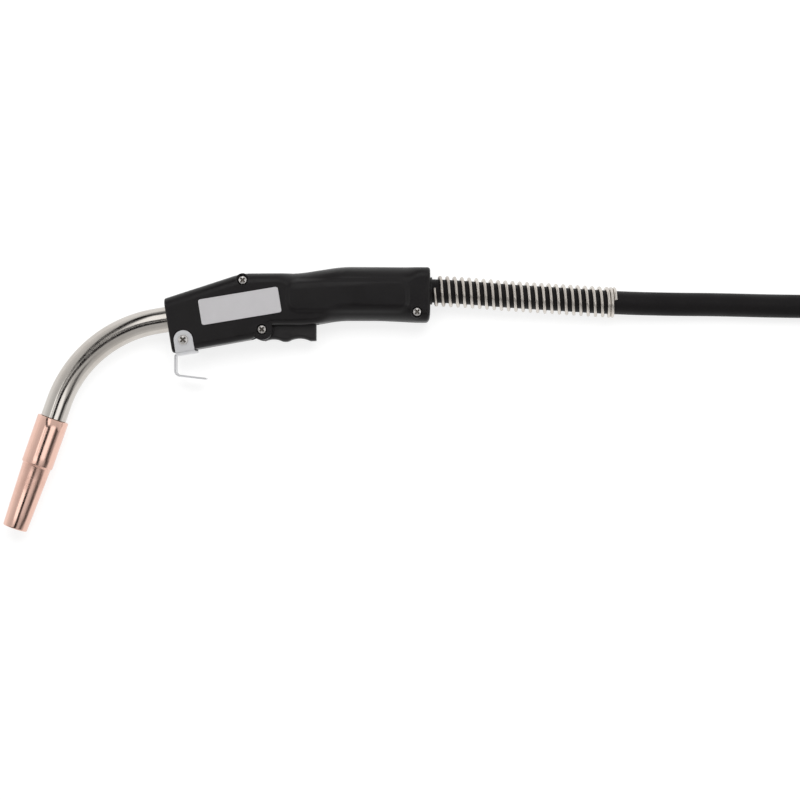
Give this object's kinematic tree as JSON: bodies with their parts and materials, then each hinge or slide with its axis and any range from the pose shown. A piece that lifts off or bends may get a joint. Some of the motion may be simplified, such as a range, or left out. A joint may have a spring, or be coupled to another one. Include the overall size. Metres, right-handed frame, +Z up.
{
  "type": "mig welding torch",
  "caption": "Swan-neck gas-shielded welding torch with a squeeze trigger, slip-on copper nozzle, hanging hook, cable with a strain-relief spring, and a machine connector.",
  "frame": {"origin": "on the floor plane under the handle, level with the grip's centre line, 110.4 mm behind the handle's front lip", "axes": "+X along the grip from the neck towards the cable, +Y from the trigger side towards the back of the handle, +Z up, away from the side the torch lies on"},
  "size_m": [1.0398, 0.2782, 0.045],
  "materials": {
    "grip": "satin black moulded nylon",
    "trigger_plastic": "satin black moulded nylon",
    "cable": "matt black rubber",
    "plate": "brushed, bare",
    "zinc": "zinc plated sheet and screws",
    "nickel": "nickel plated brass tube",
    "copper": "drawn copper, lightly tarnished",
    "brass": "machined brass",
    "insulation": "glass filled insulating plastic",
    "steel": "plain steel",
    "switch_plastic": "grey switch moulding"
  },
  "bodies": {
    "torch": {"handle_left": "grip", "handle_right": "grip", "name_plate": "plate", "handle_screws": "zinc", "handle_nuts": "zinc", "hanger_hook": "zinc", "hook_screw": "zinc", "hook_nut": "zinc", "trigger_bush": "steel", "trigger_spring": "steel", "switch_body": "switch_plastic", "switch_leads": "cable", "tube_jacket": "nickel", "tube_insulation": "insulation", "conductor_tube": "copper", "wire_liner": "steel", "gas_diffuser": "brass", "nozzle_insulator": "insulation", "contact_tip": "copper", "power_block": "brass", "block_set_screws": "steel", "rear_ferrule": "grip", "strain_spring": "steel", "cable_run": "cable", "cable_coil": "cable", "cable_tail": "cable", "connector_boot": "grip", "connector_housing": "grip", "housing_screws": "zinc", "connector_body": "brass", "current_pin": "brass", "liner_nut": "steel", "gas_nipple": "brass", "nipple_o_ring": "cable", "pin_bushes": "insulation", "contact_spring_a": "steel", "contact_spring_b": "steel"},
    "trigger": {"trigger": "trigger_plastic"},
    "plunger": {"switch_plunger": "brass"},
    "nozzle": {"nozzle": "copper"},
    "ring_nut": {"ring_nut": "grip"},
    "contact_pin_a": {"contact_pin_a": "brass"},
    "contact_pin_b": {"contact_pin_b": "brass"}
  },
  "joints": [
    {"name": "trigger_pull", "type": "hinge", "parent": "torch", "child": "trigger", "pos_m": [-0.0303, -0.0295, 0.018], "axis": [0, 0, 1], "range_deg": [0, 4], "stiffness_Nm_per_rad": 2, "springref_deg": -4.01, "deforming": ["trigger_spring"]},
    {"name": "plunger_push", "type": "slide", "parent": "torch", "child": "plunger", "axis": [0, 1, 0], "range_m": [0, 0.0015]},
    {"name": "nozzle_pull", "type": "slide", "parent": "torch", "child": "nozzle", "axis": [-0.3322, -0.9432, 0], "range_m": [0, 0.075]},
    {"name": "ring_turn", "type": "hinge", "parent": "torch", "child": "ring_nut", "pos_m": [0.773, -0.02, 0.02252], "axis": [1, 0, 0], "continuous": true},
    {"name": "contact_a_push", "type": "slide", "parent": "torch", "child": "contact_pin_a", "axis": [-1, 0, 0], "range_m": [0, 0.003], "stiffness_N_per_m": 600, "springref_m": -0.002, "deforming": ["contact_spring_a"]},
    {"name": "contact_b_push", "type": "slide", "parent": "torch", "child": "contact_pin_b", "axis": [-1, 0, 0], "range_m": [0, 0.003], "stiffness_N_per_m": 600, "springref_m": -0.002, "deforming": ["contact_spring_b"]}
  ],
  "couplings": [
    {"joint": "plunger_push", "follows": "trigger_pull", "m_per_rad": 0.0213}
  ]
}
